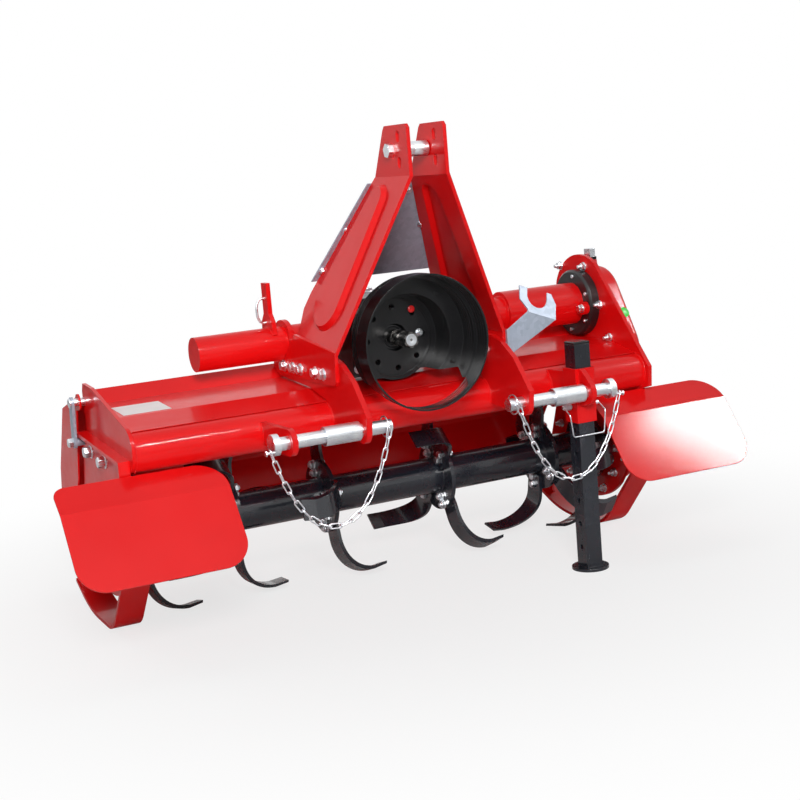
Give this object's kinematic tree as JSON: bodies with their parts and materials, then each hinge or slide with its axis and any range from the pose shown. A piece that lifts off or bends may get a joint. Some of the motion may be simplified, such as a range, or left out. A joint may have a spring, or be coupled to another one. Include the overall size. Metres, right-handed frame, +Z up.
{
  "type": "rotary tiller",
  "caption": "Three-point hitch rotary tiller: folded deck, tined rotor, A-frame tower, driven shaft with guard, side gearcase, skids, wings and parking stand.",
  "frame": {"origin": "on the floor, in the middle of the machine's length and width", "axes": "+X along the rotor axis towards the gearcase, +Y to the rear away from the tractor, +Z up"},
  "size_m": [1.608, 0.764, 1.019],
  "materials": {
    "black_cast": "satin",
    "zinc": "satin",
    "red_paint": "gloss",
    "black_plastic": "satin",
    "machined_steel": "satin",
    "galvanised": "satin",
    "black_paint": "gloss"
  },
  "bodies": {
    "frame": {"bearing_left": "black_cast", "breather": "zinc", "chain_left": "zinc", "chain_right": "zinc", "clevis_ring": "zinc", "cross_tube": "red_paint", "deck": "red_paint", "drive_tube": "red_paint", "end_plate_left": "red_paint", "front_tube": "red_paint", "gearbox": "black_cast", "gearcase_cover": "red_paint", "gearcase_plate": "red_paint", "guard": "black_plastic", "guard_plate": "black_plastic", "hinge_pins": "zinc", "hitch_bracket_left": "red_paint", "hitch_bracket_right": "red_paint", "hitch_lug_left": "red_paint", "hitch_pin_left": "zinc", "hitch_pin_right": "zinc", "hub_flange": "black_cast", "linch_pins": "zinc", "pin_spacers": "zinc", "retaining_bar": "galvanised", "rod_clevis": "red_paint", "shaft_holder": "galvanised", "side_plate_left": "red_paint", "skid_left": "red_paint", "skid_right": "red_paint", "stand_lock": "zinc", "stand_socket": "red_paint", "top_pin": "zinc", "tower_left": "red_paint", "tower_right": "red_paint", "tower_sheet": "galvanised", "wing_left": "red_paint", "wing_right": "red_paint"},
    "rotor": {"rotor_shaft": "black_paint", "tines": "black_paint"},
    "pto": {"pto_shaft": "machined_steel"},
    "stand": {"stand_leg": "black_paint", "stand_cap": "black_plastic"},
    "tailgate": {"rear_board": "red_paint"}
  },
  "joints": [
    {"name": "rotor_spin", "type": "hinge", "parent": "frame", "child": "rotor", "pos_m": [0, 0.018, 0.203], "axis": [1, 0, 0], "continuous": true},
    {"name": "pto_spin", "type": "hinge", "parent": "frame", "child": "pto", "pos_m": [0, -0.182, 0.563], "axis": [0, 1, 0], "continuous": true},
    {"name": "tailgate_hinge", "type": "hinge", "parent": "frame", "child": "tailgate", "pos_m": [0, 0.122, 0.485], "axis": [1, 0, 0], "range_deg": [0, 60]},
    {"name": "stand_slide", "type": "slide", "parent": "frame", "child": "stand", "axis": [0, 0, 1], "range_m": [0, 0.324]}
  ],
  "couplings": [
    {"joint": "pto_spin", "follows": "rotor_spin", "ratio": 2.6}
  ]
}
